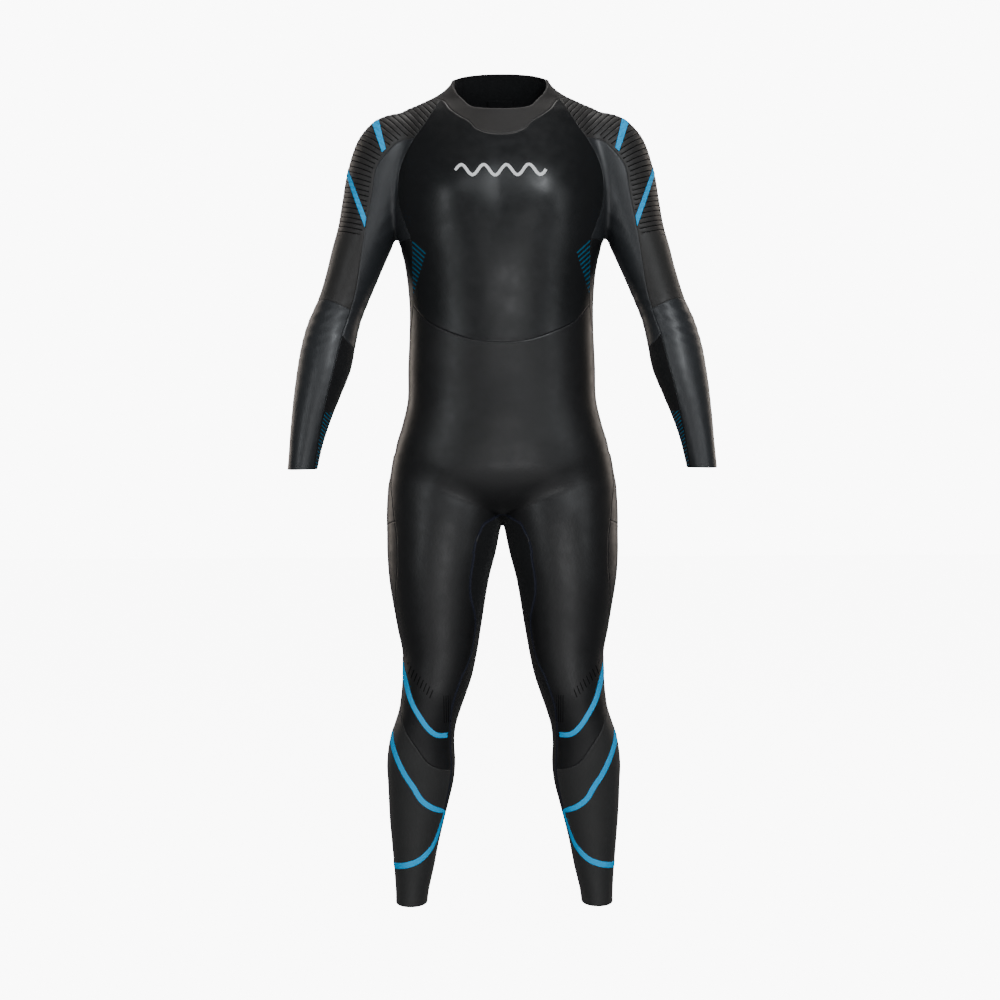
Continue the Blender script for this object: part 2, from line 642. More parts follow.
def cut(s, ok, levels, period=None):
    """Cuts the body's mesh at each level in turn. Returns s and ok for the new corners too."""
    global V, T, marks
    for level in levels:
        V, T, s, ok, marks = split(V, T, s, level, ok, marks, period)
    return s, ok


for name, f, where in seam_list():
    s = across(f, V, normals_at(V))
    s, ok = cut(s, where(V) & (np.abs(s) < NEAR_SEAM), (0.0, -1.0, 1.0, -2.6, 2.6))
    columns = [SEAM]
    columns += [INSEAM] if name in ("inner_leg", "gusset_back") else []
    columns += [SLEEVE_SEAM] if name == "sleeve" else []
    for column in columns:
        marks[:, column] = np.where(ok, np.minimum(marks[:, column], np.abs(s)), marks[:, column])


def trim(f, where):
    """Takes away the mesh where f is negative, and marks the open edge that it leaves."""
    global T
    s, ok = cut(across(f, V, normals_at(V)), where(V), (0.0, 0.7, 2.0))
    marks[:, EDGE] = np.where(ok, np.minimum(marks[:, EDGE], np.abs(s)), marks[:, EDGE])
    gone = (ok[T] & (s[T] < 0.35) & (s[T].min(1, keepdims=True) < -0.001)).all(1)
    T = T[~gone]


# The open ends: ankles, wrists and the collar's rim.
trim(lambda p: p[:, 2], lambda p: p[:, 2] < 60)
trim(lambda p: p[:, 2] - WRIST_Z, lambda p: (ax_of(p) > 270) & (p[:, 2] < 815))
trim(lambda p: RIM(p[:, 1]) - p[:, 2], lambda p: (ax_of(p) < 125) & (p[:, 2] > 1300))
# The slot for the zip, and above it the slit where the collar's two ends meet.
trim(
    lambda p: np.maximum(ax_of(p) - ZIP_HALF_SLOT, ZIP_LOW - p[:, 2]),
    lambda p: (ax_of(p) < 30) & (p[:, 1] > 20) & (p[:, 2] > 1000) & (p[:, 2] < 1396),
)
trim(
    lambda p: ax_of(p) - COLLAR_HALF_SLIT,
    lambda p: (ax_of(p) < 12) & (p[:, 1] > 20) & (p[:, 2] > 1391),
)

# Ribs of the shoulder panels, across a line down the middle of the shoulder and the upper arm.
RIB_LINE = along_path([(96, 1392), (128, 1368), (165, 1338), (196, 1302), (222, 1258), (240, 1205),
    (262, 1120), (280, 1040)])
RIB_PITCH = 8.2


def rib_place(p):
    return to_path(RIB_LINE, ax_of(p), p[:, 2])[1]


def on_ribs(p):
    y, z, ax, arm, beta = parts_of(p)
    return arm & (z > 1150) & (sleeve_side(p) > 3) & (z < COLLAR(y) - 3)


s, ok = cut(rib_place(V), on_ribs(V), (0.0, -0.75, 0.75), RIB_PITCH)
marks[:, RIB] = np.where(ok, np.abs((s + RIB_PITCH / 2) % RIB_PITCH - RIB_PITCH / 2), 99.0)

# Colour strips: centre lines in the front view with widths, and the four-cornered shoulder strips.
KNEE_STRIPE = along_path([
    (186, 462, 5), (177, 431, 8.5), (166, 392, 10), (156, 361, 10), (141.5, 335, 10), (128, 315, 10), (114,
        303, 10),
    (96, 300, 10),
], 4)
CALF_STRIPE = along_path([
    (200, 330, 4), (193, 308, 6), (191, 287, 9), (181, 258, 10), (168, 232, 10.5), (154, 211, 10.5), (142,
        190, 10.5),
    (125, 175, 10.5), (108, 165.5, 9), (103.5, 160, 5), (106.5, 150, 4.5), (119.5, 112, 7), (130, 96, 9.5),
    (145.5, 82.5, 11), (163, 75, 11.5), (180, 70.5, 11.5), (200, 66, 11.5),
], 4)
WAVE = along_path([(-74 + 148 * i / 32, 1247 + 9 * math.sin(math.pi * i / 4), 5) for i in range(33)], 2)


def band(line, both=True):
    """The two edges of a strip along a line, each a function that is negative inside."""
    before = np.r_[0, np.cumsum(np.linalg.norm(np.diff(line[:, :2], axis=0), axis=1))]

    def edge_at(sign):
        def f(p):
            d, place = to_path(line, ax_of(p) if both else p[:, 0], p[:, 2])
            return sign * d - np.interp(place, before, line[:, 2]) / 2

        return f

    def ends(p):
        place = to_path(line, ax_of(p) if both else p[:, 0], p[:, 2])[1]
        return np.maximum(1e-6 - place, place - before[-1] + 1e-6)

    return [edge_at(1), edge_at(-1)], [ends]


def polygon(corners):
    """The sides of a convex outline in the front view, each a function that is negative inside."""
    c = np.array(corners, float)
    area = sum(c[i - 1, 0] * c[i, 1] - c[i, 0] * c[i - 1, 1] for i in range(len(c)))
    if area < 0:
        c = c[::-1]

    def side(i):
        (x0, z0), (x1, z1) = c[i], c[(i + 1) % len(c)]
        size = math.hypot(x1 - x0, z1 - z0)
        return lambda p: ((ax_of(p) - x0) * (z1 - z0) - (p[:, 2] - z0) * (x1 - x0)) / size

    return [side(i) for i in range(len(c))], []


def hatching(place, pitch, width):
    """Fine lines where place is a whole number of pitches, drawn by splitting at both their edges."""
    return {"place": place, "pitch": pitch, "width": width}


CHEST_HATCH = hatching(lambda p: (p[:, 2] + 0.95 * (150.5 - ax_of(p)) - 1136.7) / 1.379, 8.2 / 1.379, 2.0)
CUFF_HATCH = hatching(lambda p: (p[:, 2] - 1.15 * (ax_of(p) - 300)) / 1.524, 5.9 / 1.524 * 1.25, 1.5)
KNEE_RIBS = hatching(lambda p: ax_of(p) * 0.93 + p[:, 2] * 0.37, 7.0, 1.6)
KNEE_LINES = hatching(ax_of, 3.6, 1.1)



def knee_slant(p):
    return (p[:, 2] - 411 - 0.988 * (ax_of(p) - 157.4)) * 0.7


FLAT_RISE = 0.2  # a strip that rises less is a print with no edge of its own
# Name, edges and limits, where to look for it, how far it rises, and the lines that it is made of.
STRIPS = [
    ("shoulder_stripe_upper", polygon([(192, 1293), (199.5, 1286), (239, 1402), (222, 1412)]),
     lambda p: (p[:, 2] > 1270) & (ax_of(p) > 150), 0.5, None),
    ("shoulder_stripe_lower", polygon([(226, 1179), (229, 1159), (292, 1335), (292, 1352)]),
     lambda p: (p[:, 2] > 1130) & (ax_of(p) > 200), 0.5, None),
    ("knee_stripe", band(KNEE_STRIPE), lambda p: (p[:, 2] < 480) & (p[:, 2] > 280) & (p[:, 1] < 8), 0.5,
        None),
    ("calf_stripe", band(CALF_STRIPE), lambda p: (p[:, 2] < 340) & (p[:, 2] > 40) & (p[:, 1] < 14), 0.5,
        None),
    ("chest_mark", band(WAVE, False),
     lambda p: (p[:, 2] < 1270) & (p[:, 2] > 1220) & (p[:, 1] < 0) & (ax_of(p) < 90), 0.25, None),
    ("chest_hatch", ([
        lambda p: (125.7 + (1113.2 - p[:, 2]) * 0.3516 - ax_of(p)) * 0.943,
        lambda p: ax_of(p) - 149.5 + np.abs(p[:, 2] - 1092) * 0.02,
        lambda p: p[:, 2] + 0.95 * (150.5 - ax_of(p)) - 1139.5,
        lambda p: 1050 - p[:, 2],
    ], []), lambda p: (p[:, 2] < 1150) & (p[:, 2] > 1030) & (p[:, 1] < 0) & (ax_of(p) < 156)
     & (ax_of(p) > 110), 0.15, CHEST_HATCH),
    ("cuff_hatch", ([lambda p: p[:, 2] - 851, lambda p: 754.5 - p[:, 2], lambda p: sleeve_side(p) + 1.4,
        lambda p: -sleeve_side(p) - 17], []),
     lambda p: (p[:, 2] < 870) & (ax_of(p) > 260) & (p[:, 2] > 745), 0.15, CUFF_HATCH),
    ("knee_ribs", ([
        lambda p: knee_slant(p) - 7,
        lambda p: -knee_slant(p) - 7,
        lambda p: ax_of(p) - 163, lambda p: 119 - ax_of(p),
    ], []), lambda p: (p[:, 2] < 440) & (ax_of(p) > 110) & (p[:, 2] > 350) & (p[:, 1] < 0), 0.1, KNEE_RIBS),
    ("knee_lines", ([
        lambda p: p[:, 2] - 372, lambda p: 323 - p[:, 2],
        lambda p: ax_of(p) - 101.5, lambda p: 90 - ax_of(p),
    ], []), lambda p: (p[:, 2] < 390) & (ax_of(p) > 80) & (ax_of(p) < 115) & (p[:, 2] > 305)
     & (p[:, 1] < 0), 0.1, KNEE_LINES),
]


def inside_strip(strip, p):
    _, (edges, limits), where, _, lines = strip
    inside = where(p)
    for f in edges + limits:
        inside[inside] = f(p[inside]) < 0
    if lines:
        w = lines["place"](p[inside]) / lines["pitch"]
        inside[inside] = np.abs(w - np.round(w)) * lines["pitch"] < lines["width"] / 2
    return inside


for _, (edges, _), where, rise, lines in STRIPS:
    for f in edges:
        ok = where(V)
        s = np.full(len(V), 50.0)
        s[ok] = f(V[ok])
        cut(s, ok & (np.abs(s) < NEAR_SEAM), (0.0, -0.6) if rise > FLAT_RISE else (0.0,))
    if lines:
        ok = where(V)
        s = np.full(len(V), 1e6)
        s[ok] = lines["place"](V[ok])
        cut(s, ok, (-lines["width"] / 2, lines["width"] / 2), lines["pitch"])

# ------------------------------------------------------------------ relief

groove, edge, rib = marks[:, SEAM], marks[:, EDGE], marks[:, RIB]


def waves(p, seeds, size):
    """Smooth unevenness, about from -1 to 1, the same on every run."""
    total = np.zeros(len(p))
    for a, b, c, d in seeds:
        total += np.sin((a * p[:, 0] + b * p[:, 1] + c * p[:, 2]) / size + d)
    return total / len(seeds)


SOFT = [(0.9, 0.4, 0.5, 0.3), (-0.6, 0.8, 0.7, 1.9), (0.3, -0.7, 1.1, 4.2), (1.2, 0.6, -0.4, 2.6),
    (-0.2, 1.1, 0.3, 5.1)]
N = normals_at(V)
ax, z = np.abs(V[:, 0]), V[:, 2]
arm = parts_of(V)[3]
relief = 0.45 * waves(V, SOFT, 24) + 0.2 * waves(V, SOFT, 9)
window = lambda q, a, b, soft: 1 / (1 + np.exp(-(q - a) / soft)) / (1 + np.exp((q - b) / soft))
down_arm = z + 0.28 * (ax - 280)
wrinkle = np.sin(down_arm / 2.9 + 1.3 * np.sin(V[:, 1] / 19 + 0.4) + 0.7 * np.sin(ax / 15))
relief += np.where(arm, 0.3 * wrinkle * window(down_arm, 965, 1052, 8), 0)
relief += np.where(arm,
    0.12 * np.sin(down_arm / 3.6 + np.sin(V[:, 1] / 14)) * window(down_arm, 850, 960, 14), 0)
pit = np.hypot(ax - 172, (z - 1158) / 1.6)
relief += 0.6 * np.sin((z + 0.9 * ax) / 4.2) * np.exp(-((pit / 26) ** 2))
knee = np.exp(-(((z - 372) / 34) ** 2)) * (V[:, 1] > 0)
relief += 0.7 * knee * np.sin(z / 3.3 + 0.8 * np.sin(V[:, 0] / 12))
crotch = np.exp(-(((z - 690) / 30) ** 2)) * (V[:, 1] < 0)
relief += 0.12 * crotch * np.sin((z - 0.55 * ax) / 6.0)


def swell(height, ax0, z0, wide, tall):
    """A broad rise on the front."""
    return height * np.exp(-(((ax - ax0) / wide) ** 2) - (((z - z0) / tall) ** 2)) * (V[:, 1] < 0)


relief += swell(4.5, 84, 1214, 50, 42) - swell(1.8, 0, 1222, 22, 60)
relief += swell(3.0, 0, 850, 60, 44) + swell(2.0, 98, 738, 46, 20)
relief -= 0.6 * np.exp(-((groove / 0.7) ** 2)) - 0.12 * np.exp(-(((groove - 2.3) / 1.1) ** 2))
relief -= 0.75 * np.exp(-((rib / 0.55) ** 2)) - 0.22 * np.exp(-(((rib - 3.6) / 2.0) ** 2)) * (rib < 50)
relief -= 0.9 * np.clip(1 - edge / 1.6, 0, 1) ** 2
OUT = V + N * relief[:, None]


def centroids(tris):
    return V[tris].mean(1)


names = label(centroids(T))
sides = np.where(centroids(T)[:, 0] > 0, "left", "right")

# ------------------------------------------------------------------ materials


def principled(name):
    m = bpy.data.materials.new(name)
    m.use_nodes = True
    return m, m.node_tree.nodes, m.node_tree.links, m.node_tree.nodes["Principled BSDF"]


def noise(nodes, links, coords, scale, detail=4.0, rough=0.55):
    n = nodes.new("ShaderNodeTexNoise")
    n.inputs["Scale"].default_value = scale
    n.inputs["Detail"].default_value = detail
    n.inputs["Roughness"].default_value = rough
    links.new(coords, n.inputs["Vector"])
    return n.outputs["Fac"]


def remap(nodes, links, value, low, high, out_low, out_high):
    n = nodes.new("ShaderNodeMapRange")
    for key, v in zip(("From Min", "From Max", "To Min", "To Max"), (low, high, out_low, out_high)):
        n.inputs[key].default_value = v
    links.new(value, n.inputs["Value"])
    return n.outputs["Result"]


def mixed(nodes, links, fac, a, b):
    n = nodes.new("ShaderNodeMix")
    n.data_type = "RGBA"
    n.inputs["A"].default_value = (*a, 1)
    n.inputs["B"].default_value = (*b, 1)
    links.new(fac, n.inputs["Factor"])
    return n.outputs["Result"]


def bumped(nodes, links, height, strength, distance, normal=None):
    n = nodes.new("ShaderNodeBump")
    n.inputs["Strength"].default_value = strength
    n.inputs["Distance"].default_value = distance
    links.new(height, n.inputs["Height"])
    if normal is not None:
        links.new(normal, n.inputs["Normal"])
    return n.outputs["Normal"]


def smooth_skin(name, dark, light, rough, shine, sheen=0.0):
    """Closed-cell neoprene skin: soft sheen, faint cloudiness and a fine grain."""
    m, nodes, links, bsdf = principled(name)
    coords = nodes.new("ShaderNodeTexCoord").outputs["Object"]
    cloud = noise(nodes, links, coords, 14, 3)
    fine = noise(nodes, links, coords, 1500, 2)
    smear = noise(nodes, links, coords, 60, 5, 0.6)
    links.new(mixed(nodes, links, cloud, dark, light), bsdf.inputs["Base Color"])
    links.new(remap(nodes, links, smear, 0.3, 0.7, rough - 0.05, rough + 0.06), bsdf.inputs["Roughness"])
    n = bumped(nodes, links, smear, 0.03, 0.0006)
    n = bumped(nodes, links, fine, 0.1, 0.0001, n)
    links.new(n, bsdf.inputs["Normal"])
    bsdf.inputs["Specular IOR Level"].default_value = shine
    bsdf.inputs["Sheen Weight"].default_value = sheen
    bsdf.inputs["Sheen Roughness"].default_value = 0.4
    return m


def knit(name, dark, light, rough, scale=900, depth=0.5):
    """Stretch jersey: fine ribs of loops both ways, matte with a soft edge."""
    m, nodes, links, bsdf = principled(name)
    coords = nodes.new("ShaderNodeTexCoord").outputs["Object"]
    total = None
    for direction in ("X", "Z"):
        w = nodes.new("ShaderNodeTexWave")
        w.wave_type = "BANDS"
        w.bands_direction = direction
        w.inputs["Scale"].default_value = scale
        w.inputs["Distortion"].default_value = 1.2
        w.inputs["Detail"].default_value = 1.0
        links.new(coords, w.inputs["Vector"])
        if total is None:
            total = w.outputs["Fac"]
        else:
            mul = nodes.new("ShaderNodeMath")
            mul.operation = "MULTIPLY"
            links.new(total, mul.inputs[0])
            links.new(w.outputs["Fac"], mul.inputs[1])
            total = mul.outputs[0]
    fuzz = noise(nodes, links, coords, 45, 4)
    links.new(mixed(nodes, links, fuzz, dark, light), bsdf.inputs["Base Color"])
    links.new(remap(nodes, links, fuzz, 0.3, 0.7, rough - 0.05, rough + 0.05), bsdf.inputs["Roughness"])
    links.new(bumped(nodes, links, total, depth, 0.0002), bsdf.inputs["Normal"])
    bsdf.inputs["Specular IOR Level"].default_value = 0.25
    bsdf.inputs["Sheen Weight"].default_value = 0.06
    bsdf.inputs["Sheen Roughness"].default_value = 0.45
    return m


def plain(name, colour, rough, metal=0.0, grain=700, strength=0.08, shine=0.5):
    m, nodes, links, bsdf = principled(name)
    coords = nodes.new("ShaderNodeTexCoord").outputs["Object"]
    n = noise(nodes, links, coords, grain, 3)
    cloud = noise(nodes, links, coords, 40, 3)
    links.new(mixed(nodes, links, cloud, [c * 0.9 for c in colour], [min(c * 1.08, 1) for c in colour]),
        bsdf.inputs["Base Color"])
    links.new(remap(nodes, links, cloud, 0.3, 0.7, rough - 0.05, rough + 0.06), bsdf.inputs["Roughness"])
    links.new(bumped(nodes, links, n, strength, 0.0002), bsdf.inputs["Normal"])
    bsdf.inputs["Metallic"].default_value = metal
    bsdf.inputs["Specular IOR Level"].default_value = shine
    return m


MATERIALS = {}
for make, name, *settings, more in (
    (smooth_skin, "smooth_collar", (0.020, 0.0182, 0.0172), (0.027, 0.0246, 0.0232), 0.5, 0.4, 0.1, {}),
    (smooth_skin, "smooth_chest", (0.0050, 0.0053, 0.0060), (0.0074, 0.0078, 0.0088), 0.35, 0.42, {}),
    (smooth_skin, "smooth_body", (0.0075, 0.0073, 0.0078), (0.0110, 0.0107, 0.0115), 0.4, 0.42, {}),
    (smooth_skin, "smooth_sleeve", (0.0175, 0.0190, 0.0215), (0.0240, 0.0260, 0.0290), 0.42, 0.55, {}),
    (smooth_skin, "smooth_shin", (0.0235, 0.0232, 0.0230), (0.0300, 0.0295, 0.0290), 0.55, 0.34, 0.1, {}),
    (smooth_skin, "ribbed_shoulder", (0.0220, 0.0208, 0.0200), (0.0290, 0.0275, 0.0265), 0.5, 0.38, 0.1, {}),
    (plain, "seam_tape", (0.014, 0.0155, 0.026), 0.7, {"shine": 0.2}),
    (plain, "strip_edge", (0.035, 0.014, 0.010), 0.6, {"shine": 0.2}),
    (plain, "stitch_light", (0.13, 0.13, 0.135), 0.6, {}),
    (plain, "stitch_navy", (0.030, 0.034, 0.055), 0.6, {}),
    (plain, "rib_line", (0.0032, 0.0031, 0.0031), 0.7, {"shine": 0.1}),
    (knit, "stretch_jersey", (0.0035, 0.0035, 0.0042), (0.0060, 0.0060, 0.0070), 0.8, {}),
    (knit, "jersey_lining", (0.0045, 0.0045, 0.0052), (0.0075, 0.0075, 0.0085), 0.85, 700, {}),
    (plain, "blue_line", (0.002, 0.11, 0.20), 0.5, {}),
    (plain, "blue_trim", (0.0, 0.46, 1.0), 0.6, {"shine": 0.05}),
    (plain, "white_print", (0.97, 0.97, 0.97), 0.5, {}),
    (knit, "zip_tape", (0.006, 0.006, 0.007), (0.010, 0.010, 0.012), 0.8, 1400, 0.7, {}),
    (plain, "zip_coil", (0.012, 0.012, 0.014), 0.35, {}),
    (plain, "metal", (0.42, 0.43, 0.45), 0.32, 1.0, 300, 0.05, {}),
    (plain, "slider_metal", (0.035, 0.037, 0.042), 0.34, 0.9, 300, 0.05, {}),
    (plain, "puller_grip", (0.014, 0.014, 0.016), 0.5, {}),
    (knit, "collar_tab", (0.008, 0.008, 0.009), (0.013, 0.013, 0.014), 0.75, 1100, {}),
    (knit, "loop_pile", (0.005, 0.005, 0.006), (0.010, 0.010, 0.011), 0.95, 420, 1.0, {}),
    (plain, "thread", (0.018, 0.020, 0.030), 0.7, {}),
):
    MATERIALS[name] = make(name, *settings, **more)
LINING = MATERIALS["jersey_lining"]

# ------------------------------------------------------------------ making pieces


def shell(name, tris, outer, inner, slot, body="suit", stands_for=(), lining=None, lines=()):
    """A closed piece from a patch of triangles, between an outer and an inner place for each corner."""
    used, flat = np.unique(tris, return_inverse=True)
    flat = flat.reshape(-1, 3)
    count = len(used)
    links = np.concatenate([flat[:, [0, 1]], flat[:, [1, 2]], flat[:, [2, 0]]])
    key = links[:, 0] * count + links[:, 1]
    twin = links[:, 1] * count + links[:, 0]
    rim = links[~np.isin(key, twin)]
    walls = np.concatenate([
        np.stack([rim[:, 1], rim[:, 0], rim[:, 0] + count], 1),
        np.stack([rim[:, 1], rim[:, 0] + count, rim[:, 1] + count], 1),
    ])
    faces = np.concatenate([flat, flat[:, ::-1] + count, walls])
    points = np.concatenate([outer[used], inner[used]]) * 0.001
    mesh = bpy.data.meshes.new(name)
    mesh.vertices.add(len(points))
    mesh.vertices.foreach_set("co", points.astype(np.float32).ravel())
    mesh.loops.add(len(faces) * 3)
    mesh.loops.foreach_set("vertex_index", faces.astype(np.int32).ravel())
    mesh.polygons.add(len(faces))
    mesh.polygons.foreach_set("loop_start", np.arange(0, len(faces) * 3, 3, dtype=np.int32))
    mesh.polygons.foreach_set("use_smooth", np.ones(len(faces), bool))
    which = np.zeros(len(faces), np.int32)
    if lining is not None:
        which[len(flat) : 2 * len(flat)] = 1
    mesh.materials.append(MATERIALS[slot])
    if lining is not None:
        mesh.materials.append(lining)
    for faces_of_line, material in lines:
        mesh.materials.append(MATERIALS[material])
        which[: len(flat)][faces_of_line] = len(mesh.materials) - 1
    mesh.polygons.foreach_set("material_index", which)
    mesh.update(calc_edges=True)
    ends = np.empty(len(mesh.edges) * 2, np.int32)
    mesh.edges.foreach_get("vertices", ends)
    ends = np.sort(ends.reshape(-1, 2), 1)
    rims = np.sort(np.concatenate([rim, rim + count]), 1)
    sharp = np.isin(ends[:, 0] * 2 * count + ends[:, 1], rims[:, 0] * 2 * count + rims[:, 1])
    mesh.attributes.new("sharp_edge", "BOOLEAN", "EDGE").data.foreach_set("value", sharp)
    mesh.validate()
    o = bpy.data.objects.new(name, mesh)
    bpy.context.scene.collection.objects.link(o)
    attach(o, body)
    if stands_for:
        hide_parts(*stands_for)
    return o


PANEL_SLOT = {
    "collar_panel": "smooth_collar", "chest_panel": "smooth_chest", "front_body_panel": "smooth_body",
    "seat_panel": "smooth_body", "crotch_gusset": "stretch_jersey", "side_panel": "smooth_body",
    "upper_back_panel": "smooth_chest", "thigh_back_panel": "smooth_body",
    "knee_back_panel": "stretch_jersey",
    "calf_back_panel": "stretch_jersey", "shin_panel": "smooth_shin", "shoulder_panel": "ribbed_shoulder",
    "inner_sleeve_panel": "smooth_sleeve", "forearm_outer_panel": "smooth_sleeve",
    "forearm_inner_panel": "stretch_jersey",
}
WHOLE = {"collar_panel", "chest_panel", "front_body_panel", "seat_panel", "crotch_gusset"}
wall = np.where(arm, SLEEVE_WALL, BODY_WALL)
INNER = OUT - N * wall[:, None]
for panel, slot in PANEL_SLOT.items():
    for side in ("",) if panel in WHOLE else ("left", "right"):
        chosen = names == panel
        if side:
            chosen &= sides == side
        node = f"{panel}_{side}" if side else panel
        lines = []
        if panel == "shoulder_panel":
            lines.append((rib[T[chosen]].max(1) < 0.9, "rib_line"))
        if panel in ("front_body_panel", "shin_panel", "crotch_gusset", "knee_back_panel", "calf_back_panel"):
            lines.append((marks[T[chosen], INSEAM].max(1) < 2.7, "seam_tape"))
        shell(f"fine_{node}", T[chosen], OUT, INNER, slot, stands_for=(node,), lining=LINING, lines=lines)

LINE_MATERIAL = {
    "chest_hatch": "blue_line", "cuff_hatch": "blue_line", "knee_ribs": "rib_line", "knee_lines": "rib_line",
}
for strip in STRIPS:
    name, (edges, _), where, rise, _ = strip
    raised = rise > FLAT_RISE
    chosen = inside_strip(strip, centroids(T))
    depth = np.full(len(V), 9.0)
    ok = where(V)
    for f in edges:
        depth[ok] = np.minimum(depth[ok], -f(V[ok]))
    lift = np.clip(depth / 0.6, 0.15, 1.0) * rise if raised else np.full(len(V), rise)
    top = OUT + N * lift[:, None]
    base = OUT - N * 0.4
    slot = "white_print" if name == "chest_mark" else "blue_trim"
    for side in ("",) if name == "chest_mark" else ("left", "right"):
        part = chosen & (sides == side) if side else chosen
        node = f"{name}_{side}" if side else name
        stands = (node,) if raised else ()
        if part.any():
            rim = [(depth[T[part]].min(1) < 0.3, "strip_edge")] if slot == "blue_trim" and raised else []
            made = shell(f"fine_{node}", T[part], top, base, slot, stands_for=stands, lines=rim)
            if name in LINE_MATERIAL:
                made.data.materials[0] = MATERIALS[LINE_MATERIAL[name]]

# ------------------------------------------------------------------ zip and collar closure


def grid_shell(name, u, v, outer, inner, slot, body="suit", stands_for=()):
    """A closed sheet from a grid of outer and inner points."""
    rows, cols = len(u), len(v)
    index = np.arange(rows * cols).reshape(rows, cols)
    a, b, c, d = index[:-1, :-1].ravel(), index[1:, :-1].ravel(), index[1:, 1:].ravel(), index[:-1,
        1:].ravel()
    tris = np.concatenate([np.stack([a, b, c], 1), np.stack([a, c, d], 1)])
    o, i = outer.reshape(-1, 3), inner.reshape(-1, 3)
    n = np.cross(o[tris[:, 1]] - o[tris[:, 0]], o[tris[:, 2]] - o[tris[:, 0]]).sum(0)
    if (n * (o - i).mean(0)).sum() < 0:
        tris = tris[:, ::-1]
    return shell(name, tris, o, i, slot, body, stands_for)


def on_spine(x, angle, depth):
    """A point at x across the back, at an angle up the spine's arc, and out from the arc by depth."""
    x, angle, depth = np.broadcast_arrays(x, angle, depth)
    return np.stack([x, ARC_Y + (ARC_R + depth) * np.cos(angle), ARC_Z + (ARC_R + depth) * np.sin(angle)], -1)


A_LOW, A_HIGH = math.asin((ZIP_LOW - ARC_Z) / ARC_R), math.asin((ZIP_HIGH - ARC_Z) / ARC_R)
angles = np.linspace(A_LOW, A_HIGH, 180)
for side, sign in (("left", 1), ("right", -1)):
    across_tape = sign * np.array([0.75, 1.0, 2, 4, 6, 8, 10, 12, 14, 14.4, 14.7])
    round_off = np.array([0.3, 0.08, 0, 0, 0, 0, 0, 0, 0, 0.08, 0.3])
    A, X = np.meshgrid(angles, across_tape, indexing="ij")
    R = np.broadcast_to(round_off, A.shape)
    grid_shell(f"fine_zip_tape_{side}", angles, across_tape, on_spine(X, A, -4.3 - R),
        on_spine(X, A, -5.3 + R), "zip_tape", stands_for=(f"zip_tape_{side}",))

A, X = np.meshgrid(np.linspace(A_LOW - 0.0077, A_HIGH + 0.0077, 120), np.linspace(-22, 22, 23), indexing="ij")
R = np.clip(np.abs(X) - 20.8, 0, 1) * 0.45
grid_shell("fine_zip_placket", A[:, 0], X[0], on_spine(X, A, -7.8 - R), on_spine(X, A, -9.3 + R),
    "jersey_lining", stands_for=("zip_placket",))


def tooth_row(sign, name):
    """Coil teeth: one small rounded bar per turn of the coil, sloping a little."""
    pitch = 1.6 / ARC_R
    start = A_LOW + 4 / ARC_R + (0 if sign > 0 else pitch / 2)
    spots = np.arange(start, A_HIGH - 4 / ARC_R, pitch)
    profile = np.array([(-0.42, -0.5), (0.42, -0.5), (0.55, 0), (0.42, 0.5), (-0.42, 0.5), (-0.55, 0)])
    stations = [(-0.35, 0.55), (-0.1, 0.95), (1.2, 1.0), (2.7, 1.0), (3.1, 0.7)]
    points, faces = [], []
    for spot in spots:
        base = len(points)
        for x, scale in stations:
            for along, up in profile:
                a = spot + along * scale * 0.9 / ARC_R + x * 0.08 / ARC_R
                points.append(on_spine(sign * x, a, -2.75 + up * 1.75 * scale))
        n = len(profile)
        for i in range(len(stations) - 1):
            for j in range(n):
                p, q = base + i * n + j, base + i * n + (j + 1) % n
                faces.append((p, q, q + n, p + n) if sign > 0 else (p, p + n, q + n, q))
        ends = [base + j for j in range(n)], [base + (len(stations) - 1) * n + j for j in range(n)]
        faces.append(tuple(ends[0][::-1] if sign > 0 else ends[0]))
        faces.append(tuple(ends[1] if sign > 0 else ends[1][::-1]))
    mesh = bpy.data.meshes.new(name)
    mesh.from_pydata([tuple(np.array(p) * 0.001) for p in points], [], faces)
    mesh.materials.append(MATERIALS["zip_coil"])
    mesh.polygons.foreach_set("use_smooth", np.ones(len(faces), bool))
    o = bpy.data.objects.new(name, mesh)
    bpy.context.scene.collection.objects.link(o)
    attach(o, "suit")
    return o


for side, sign in (("left", 1), ("right", -1)):
    row = tooth_row(sign, f"fine_zip_coil_{side}")
    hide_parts(f"zip_coil_{side}")


def back_surface(x, z):
    """The outside of the back at x and z."""
    y = np.full(np.broadcast(x, z).shape, 140.0)
    x, z = np.broadcast_to(x, y.shape), np.broadcast_to(z, y.shape)
    for _ in range(40):
        p = np.stack([x, y, z], -1).reshape(-1, 3)
        y = y - 0.8 * field(p).reshape(y.shape)
    return np.stack([x, y, z], -1)


def collar_piece(name, x0, x1, z0, z1, inner, outer, slot, body, stands_for, corner=0.0, stitches=True):
    xs = np.linspace(x0, x1, int((x1 - x0) / 1.5) + 2)
    t = np.linspace(0, 1, 15)
    X, K = np.meshgrid(xs, t, indexing="ij")
    short = np.zeros_like(X)
    if corner:
        past = np.clip(X - (x1 - corner), 0, corner)
        short = corner - np.sqrt(np.maximum(corner**2 - past**2, 0))
    Z = z0 + short + K * (z1 - z0 - 2 * short)
    base = back_surface(X, Z)
    n = normals_at(base.reshape(-1, 3)).reshape(base.shape)
    rim = np.minimum.reduce([X - x0, x1 - X, Z - z0, z1 - Z])
    soft = 0.45 * np.clip(1 - rim / 1.5, 0, 1) ** 2
    top = base + n * (outer - soft)[..., None]
    under = base + n * (inner + soft * 0.5)[..., None]
    made = grid_shell(name, xs, t, top, under, slot, body, stands_for)
    if stitches:
        dashes(f"{name}_stitching", xs, t, top, n, body)
    return made


